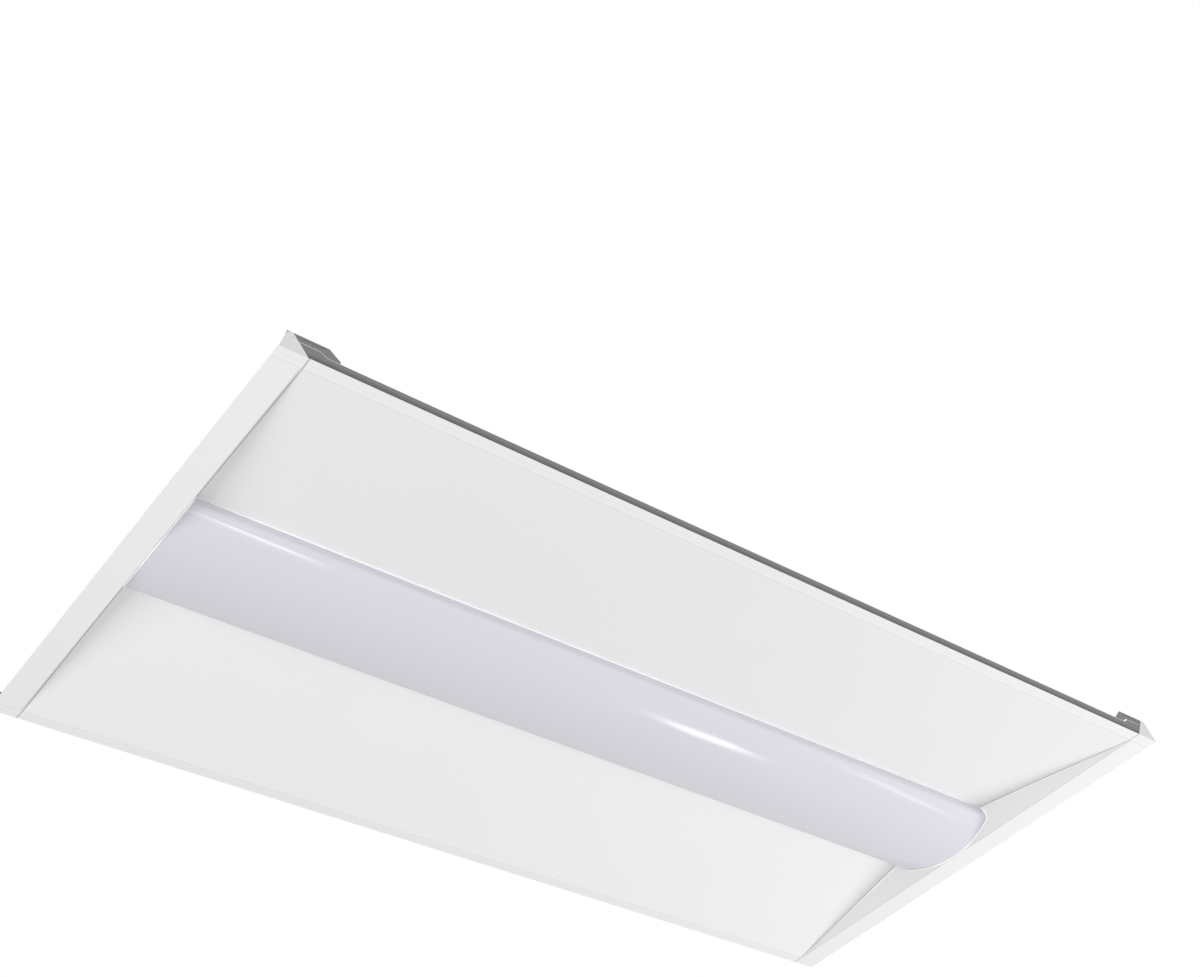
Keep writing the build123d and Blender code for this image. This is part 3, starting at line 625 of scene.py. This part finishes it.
def beads_mesh(name, runs, radius, taper=1.0):
    """One mesh of beads, each along a run of points, whose starts are thinner by taper."""
    shape = bmesh.new()
    for points in runs:
        last = len(points) - 1
        radii = [radius * (taper + (1 - taper) * i / last) for i in range(last + 1)]
        bead(shape, [Vector(point) for point in points], radii)
    bmesh.ops.recalc_face_normals(shape, faces=shape.faces)
    return mesh_of(name, shape)


def lens_half(depth, shoulder, top):
    """Half of the lens section from its middle to the top of a leg, depth below its outer face."""
    centre = LENS_BOTTOM + BELLY_RADIUS
    belly = BELLY_RADIUS - depth
    corner_y = LENS_HALF - shoulder
    corner_z = centre - sqrt((BELLY_RADIUS - shoulder) ** 2 - corner_y**2)
    lean = asin(corner_y / (BELLY_RADIUS - shoulder))

    def arc(y, z, radius, start, end, steps):
        turns = [start + (end - start) * i / steps for i in range(steps + 1)]
        return [(y + radius * sin(turn), z - radius * cos(turn)) for turn in turns]

    leg = LEG_OUTER - depth
    barb = 0.0 if depth else BARB_REACH
    return [
        *arc(0.0, centre, belly, 0.0, lean, BELLY_STEPS),
        *arc(corner_y, corner_z, shoulder - depth, lean, pi / 2, CORNER_STEPS),
        *arc(LENS_HALF - top, SHOULDER_TOP - top, top - depth, pi / 2, pi, CORNER_STEPS),
        (leg, SHOULDER_TOP - depth),
        (leg, LEG_TOP - BARB_HEIGHT),
        (leg + barb, LEG_TOP - BARB_HEIGHT),
        (leg, LEG_TOP),
    ]


def both_halves(half):
    """Whole section from one half of it."""
    return [(-y, z) for y, z in reversed(half)] + half[1:]


def lens_end_x(end, z):
    """Where the lens ends at height z, as it is cut to the slope of the end walls."""
    return end * (LENS_END - z * WALL_RUN / WING_RISE)


def lens_mesh(name, shoulder, top):
    """Lens as one closed shell, cut at both ends to the slope of the end walls."""
    shape = bmesh.new()
    faces = [both_halves(lens_half(depth, shoulder, top)) for depth in (0.0, LENS_WALL)]
    (outer_left, inner_left), (outer_right, inner_right) = [
        [[shape.verts.new((lens_end_x(end, z), y, z)) for y, z in points] for points in faces]
        for end in (-1, 1)
    ]
    strips = (
        (outer_left, outer_right),
        (inner_right, inner_left),
        (inner_left, outer_left),
        (outer_right, inner_right),
    )
    for first, second in strips:
        for corners in zip(first, first[1:], second[1:], second):
            if len({corner.co.to_tuple(8) for corner in corners}) == 4:
                shape.faces.new(corners)
    for k in (0, -1):
        shape.faces.new((outer_left[k], inner_left[k], inner_right[k], outer_right[k]))
    bmesh.ops.remove_doubles(shape, verts=shape.verts, dist=LENS_WELD_REACH)
    bmesh.ops.recalc_face_normals(shape, faces=shape.faces)
    for face in shape.faces:
        face.smooth = True
    mesh = mesh_of(name, shape)
    mesh.set_sharp_from_angle(angle=SHARP_ANGLE)
    return mesh


class TROFFER_OT_paint_sheets(bpy.types.Operator):
    """Coats the frame, the tray and the driver box"""

    bl_idname = "troffer.paint_sheets"
    bl_label = "Paint Sheets"

    def execute(self, context):
        settings = context.scene.troffer_paint
        frame_sheets = ("near_wing", "far_wing", "left_end_plate", "right_end_plate")
        gear_sheets = ("gear_tray", "driver_box", "access_cover")
        # The frame's coat carries the painted fold shade
        shaded_coat = powder_coat(settings, "folded_coat", fold_shade_lines=True)
        cover_with(frame_sheets, shaded_coat, settings.edge_radius)
        cover_with(gear_sheets, powder_coat(settings, "powder_coat"), settings.edge_radius)
        return {"FINISHED"}


class TROFFER_OT_roll_hems(bpy.types.Operator):
    """Adds the rolled edges of the wings beside the lens, of the end walls and of the border"""

    bl_idname = "troffer.roll_hems"
    bl_label = "Roll Hems"

    def execute(self, context):
        settings = context.scene.troffer_paint
        radius = settings.hem_radius
        groove_radius = radius * GROOVE_SHARE
        border_radius = radius * BORDER_SHARE
        slope = WING_RISE / (SIDE_FOLD - CHANNEL_HALF)
        beside_lens = LENS_HALF - HEM_INSET
        under_wing = (SIDE_FOLD - beside_lens) * slope - groove_radius
        wall_top = END_FOLD - WALL_RUN
        border_x, border_y = (reach - BORDER_INSET * border_radius for reach in CAD_BOX[1][:2])
        wing_runs = [
            [(end * wall_top, side * beside_lens, under_wing) for end in (-1, 1)]
            for side in (-1, 1)
        ]
        wall_runs = [
            [
                (end * END_FOLD, side * SIDE_FOLD, WALL_START * radius),
                (end * (wall_top + WALL_OUTWARD * radius), side * CHANNEL_HALF, WING_RISE - radius),
            ]
            for end in (-1, 1)
            for side in (-1, 1)
        ]
        border_runs = [
            [(end * border_x, side * border_y, border_radius) for end in (-1, 1)]
            for side in (-1, 1)
        ]
        wall_radius = radius * WALL_SHARE
        hems = {
            "wing_hems": beads_mesh("wing_hems", wing_runs, groove_radius),
            "wall_hems": beads_mesh("wall_hems", wall_runs, wall_radius, WALL_TAPER),
            "border_hems": beads_mesh("border_hems", border_runs, border_radius),
        }
        coat = hem_coat(settings)
        for name, mesh in hems.items():
            new_piece(name, mesh, coat, "fixture")
        return {"FINISHED"}


class TROFFER_OT_finish_steel(bpy.types.Operator):
    """Finishes the side rails, the grid clips and the plated fasteners"""

    bl_idname = "troffer.finish_steel"
    bl_label = "Finish Steel"

    def execute(self, context):
        settings = context.scene.troffer_steel
        edge_radius = context.scene.troffer_paint.edge_radius
        rails = [f"{side}_side_rail" for side in SIDES]
        clips = [f"{side}_{end}_clip" for side in SIDES for end in ENDS]
        plated = (
            "cover_hinge_pins", "cover_screw", "driver_screws", "box_screws", "tray_rivets",
            "plate_rivets", "earth_lug",
        )
        cover_with(rails + clips, rail_steel(settings), edge_radius)
        cover_with(plated, zinc_plate(settings), edge_radius)
        return {"FINISHED"}


class TROFFER_OT_finish_lens(bpy.types.Operator):
    """Makes the lens of milky plastic, with polished rims at its ends that carry a painted highlight"""

    bl_idname = "troffer.finish_lens"
    bl_label = "Finish Lens"

    def execute(self, context):
        settings = context.scene.troffer_lens
        shoulder, top = settings.shoulder_radius, settings.top_radius
        milky = milky_plastic(settings)
        mesh = lens_mesh("lens_shell", shoulder, top)
        shell = new_piece("lens_shell", mesh, milky, "fixture")
        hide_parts("diffuser_lens")
        radius = settings.rim_radius
        outline = both_halves(lens_half(0.0, shoulder, top)[:-LEG_POINTS])
        runs = [[(lens_end_x(end, z), y, max(z, radius)) for y, z in outline] for end in (-1, 1)]
        rims = beads_mesh("lens_rims", runs, radius)
        new_piece("lens_rims", rims, polished_rim(settings), "fixture")
        return {"FINISHED"}


class TROFFER_OT_finish_gear(bpy.types.Operator):
    """Finishes the boards, the driver, the switches, the terminal, the leads and the grommet"""

    bl_idname = "troffer.finish_gear"
    bl_label = "Finish Gear"

    def execute(self, context):
        settings = context.scene.troffer_gear
        grain, depth = settings.grain_width, settings.grain_depth
        nylon = moulding("nylon", settings.nylon_colour, grain, depth, 0.35)
        black = moulding("black_moulding", settings.black_colour, grain, depth, 0.45)
        white = moulding("white_moulding", settings.white_colour, grain, depth, 0.38)
        rubber = moulding("grommet_rubber", settings.black_colour, grain * 2, depth, 0.7)
        green = moulding("earth_green", settings.green_colour, grain, depth, 0.3)
        black_skin = insulation("black_insulation", settings.black_colour)
        white_skin = insulation("white_insulation", settings.white_colour)
        green_skin = insulation("green_insulation", settings.green_colour)
        red_skin = insulation("red_insulation", settings.red_colour)
        boards = [f"led_board_{side}_{end}" for side in SIDES for end in ENDS]
        cover_with(boards, board_mask(settings), BOARD_EDGE)
        cover_with(("led_packages",), led_gel(settings), PACKAGE_EDGE)
        cover_with(("driver_case",), satin_aluminium(settings), CASE_EDGE)
        finishes = {
            nylon: ("board_links", "board_connectors", "supply_terminal"),
            black: ("driver_caps", "selector_block"),
            white: ("wattage_knob", "colour_knob", "board_rivets"),
            rubber: ("lead_grommet",),
            green: ("earth_screw",),
            black_skin: ("line_lead", "negative_leads"),
            white_skin: ("neutral_lead",),
            green_skin: ("earth_lead",),
            red_skin: ("positive_leads",),
        }
        for material, nodes in finishes.items():
            cover_with(nodes, material, MOULDED_EDGE)
        return {"FINISHED"}


# ------------------------------------------------------------------ floor, lamps, background, camera
def look_along(direction, roll=0.0):
    """Rotation that points -Z along a direction, turned by roll about it."""
    return direction.to_track_quat("-Z", "Y").to_matrix() @ Matrix.Rotation(roll, 3, "Z")


def add_lamp(name, place, rotation, size, power, shape="RECTANGLE"):
    """Area lamp of a width and a height that the camera doesn't see."""
    light = bpy.data.lights.new(name, "AREA")
    light.shape = shape
    light.size, light.size_y = size
    light.energy = power
    lamp = bpy.data.objects.new(name, light)
    bpy.context.scene.collection.objects.link(lamp)
    lamp.matrix_world = Matrix.Translation(place) @ rotation.to_4x4()
    lamp.visible_camera = False
    return lamp


def soft_lamp(name, place, width, power):
    """Wide square lamp that lights the middle of the object and doesn't show in its gloss."""
    lamp = add_lamp(name, place, look_along(-Vector(place)), (width, width), power)
    lamp.visible_glossy = False


def strip_lamp(name, start, end, height, brightness):
    """Thin elliptical lamp from start to end that shows as a glint in the lens."""
    start, end = Vector(start), Vector(end)
    middle = (start + end) / 2
    length = (end - start).length
    power = brightness * pi * (pi * length * height / 4)
    back = middle.normalized()
    along = (end - start).normalized()
    along = (along - back * along.dot(back)).normalized()
    rotation = Matrix((along, back.cross(along), back)).transposed()
    lamp = add_lamp(name, middle, rotation, (length, height), power, "ELLIPSE")
    lamp.visible_diffuse = False


def floor_material(colour):
    """Pale floor seen from above only, which fades into the white background."""
    finish = Finish("floor")
    place = finish.node("ShaderNodeNewGeometry", output="Position")
    behind = finish.node("ShaderNodeNewGeometry", output="Backfacing")
    distance = finish.node(
        "ShaderNodeVectorMath", {"operation": "LENGTH"}, {0: place}, output="Value"
    )
    fade = finish.node(
        "ShaderNodeMapRange", None,
        {"Value": distance, "From Min": FADE_START, "From Max": FADE_END},
    )
    pale = finish.node("ShaderNodeBsdfDiffuse", None, {"Color": rgba(colour)})
    white = finish.node("ShaderNodeEmission", None, {"Strength": 1.0})
    clear = finish.node("ShaderNodeBsdfTransparent")
    seen = finish.node("ShaderNodeMixShader", None, {0: fade, 1: pale, 2: white})
    whole = finish.node("ShaderNodeMixShader", None, {0: behind, 1: seen, 2: clear})
    finish.node("ShaderNodeOutputMaterial", None, {"Surface": whole})
    return finish.owner


def white_world(ambient):
    """Even light of strength ambient, seen as plain white by the camera and in reflections."""
    finish = Finish("studio", bpy.data.worlds)
    camera, glossy, through = (
        finish.node("ShaderNodeLightPath", output=f"Is {kind} Ray")
        for kind in ("Camera", "Glossy", "Transmission")
    )
    seen = camera | glossy | through
    background = finish.node(
        "ShaderNodeBackground", None,
        {"Color": (1, 1, 1, 1), "Strength": ambient + (1 - ambient) * seen},
    )
    finish.node("ShaderNodeOutputWorld", None, {"Surface": background})
    return finish.owner


class TROFFER_OT_build_stage(bpy.types.Operator):
    """Adds the floor, the lamps, the white background and the camera"""

    bl_idname = "troffer.build_stage"
    bl_label = "Build Stage"

    def execute(self, context):
        settings = context.scene.troffer_stage
        self.add_floor(settings)
        context.scene.world = white_world(settings.ambient)
        for name, (place, width, power) in SOFTBOXES.items():
            soft_lamp(name, place, width, getattr(settings, power))
        for name, (start, end, height, share) in GLINTS.items():
            strip_lamp(name, start, end, height, settings.glint * share)
        self.add_camera(context, settings)
        context.scene.view_settings.view_transform = "Standard"
        return {"FINISHED"}

    def add_floor(self, settings):
        shape = bmesh.new()
        bmesh.ops.create_circle(shape, cap_ends=True, segments=64, radius=FLOOR_RADIUS)
        mesh = mesh_of("floor", shape)
        mesh.materials.append(floor_material(settings.floor_colour))
        floor = bpy.data.objects.new("floor", mesh)
        bpy.context.scene.collection.objects.link(floor)
        floor.location.z = -FLOOR_DROP
        floor.visible_diffuse = False
        floor.visible_glossy = False
        floor.visible_transmission = False
        floor.visible_shadow = False

    def add_camera(self, context, settings):
        camera_data = bpy.data.cameras.new("camera")
        camera_data.sensor_width = SENSOR_WIDTH
        camera_data.lens = settings.focal_length
        camera_data.shift_x, camera_data.shift_y = settings.shift
        camera = bpy.data.objects.new("camera", camera_data)
        context.scene.collection.objects.link(camera)
        place, aim = Vector(settings.camera_place), Vector(settings.camera_aim)
        turned = look_along(aim - place, settings.camera_roll)
        camera.matrix_world = Matrix.Translation(place) @ turned.to_4x4()
        context.scene.camera = camera


# ------------------------------------------------------------------ sidebar
class TROFFER_PT_sidebar(bpy.types.Panel):
    """Lists the steps and their settings"""

    bl_idname = "TROFFER_PT_sidebar"
    bl_label = "Ceiling Light"
    bl_space_type = "VIEW_3D"
    bl_region_type = "UI"
    bl_category = "Ceiling Light"

    def draw(self, context):
        for step in STEPS:
            self.layout.operator(step.bl_idname)
        for group, name in SETTINGS.items():
            box = self.layout.box()
            settings = getattr(context.scene, name)
            for field in group.__annotations__:
                box.prop(settings, field)


SETTINGS = {
    PaintSettings: "troffer_paint",
    SteelSettings: "troffer_steel",
    LensSettings: "troffer_lens",
    GearSettings: "troffer_gear",
    StageSettings: "troffer_stage",
}
STEPS = (
    TROFFER_OT_paint_sheets,
    TROFFER_OT_roll_hems,
    TROFFER_OT_finish_steel,
    TROFFER_OT_finish_lens,
    TROFFER_OT_finish_gear,
    TROFFER_OT_build_stage,
)


def register():
    for kind in (*SETTINGS, *STEPS, TROFFER_PT_sidebar):
        bpy.utils.register_class(kind)
    for group, name in SETTINGS.items():
        setattr(bpy.types.Scene, name, PointerProperty(type=group))


def unregister():
    for name in SETTINGS.values():
        delattr(bpy.types.Scene, name)
    for kind in reversed((*SETTINGS, *STEPS, TROFFER_PT_sidebar)):
        bpy.utils.unregister_class(kind)


def main():
    register()
    bpy.ops.troffer.paint_sheets()
    bpy.ops.troffer.roll_hems()
    bpy.ops.troffer.finish_steel()
    bpy.ops.troffer.finish_lens()
    bpy.ops.troffer.finish_gear()
    bpy.ops.troffer.build_stage()


if __name__ == "__main__":
    main()
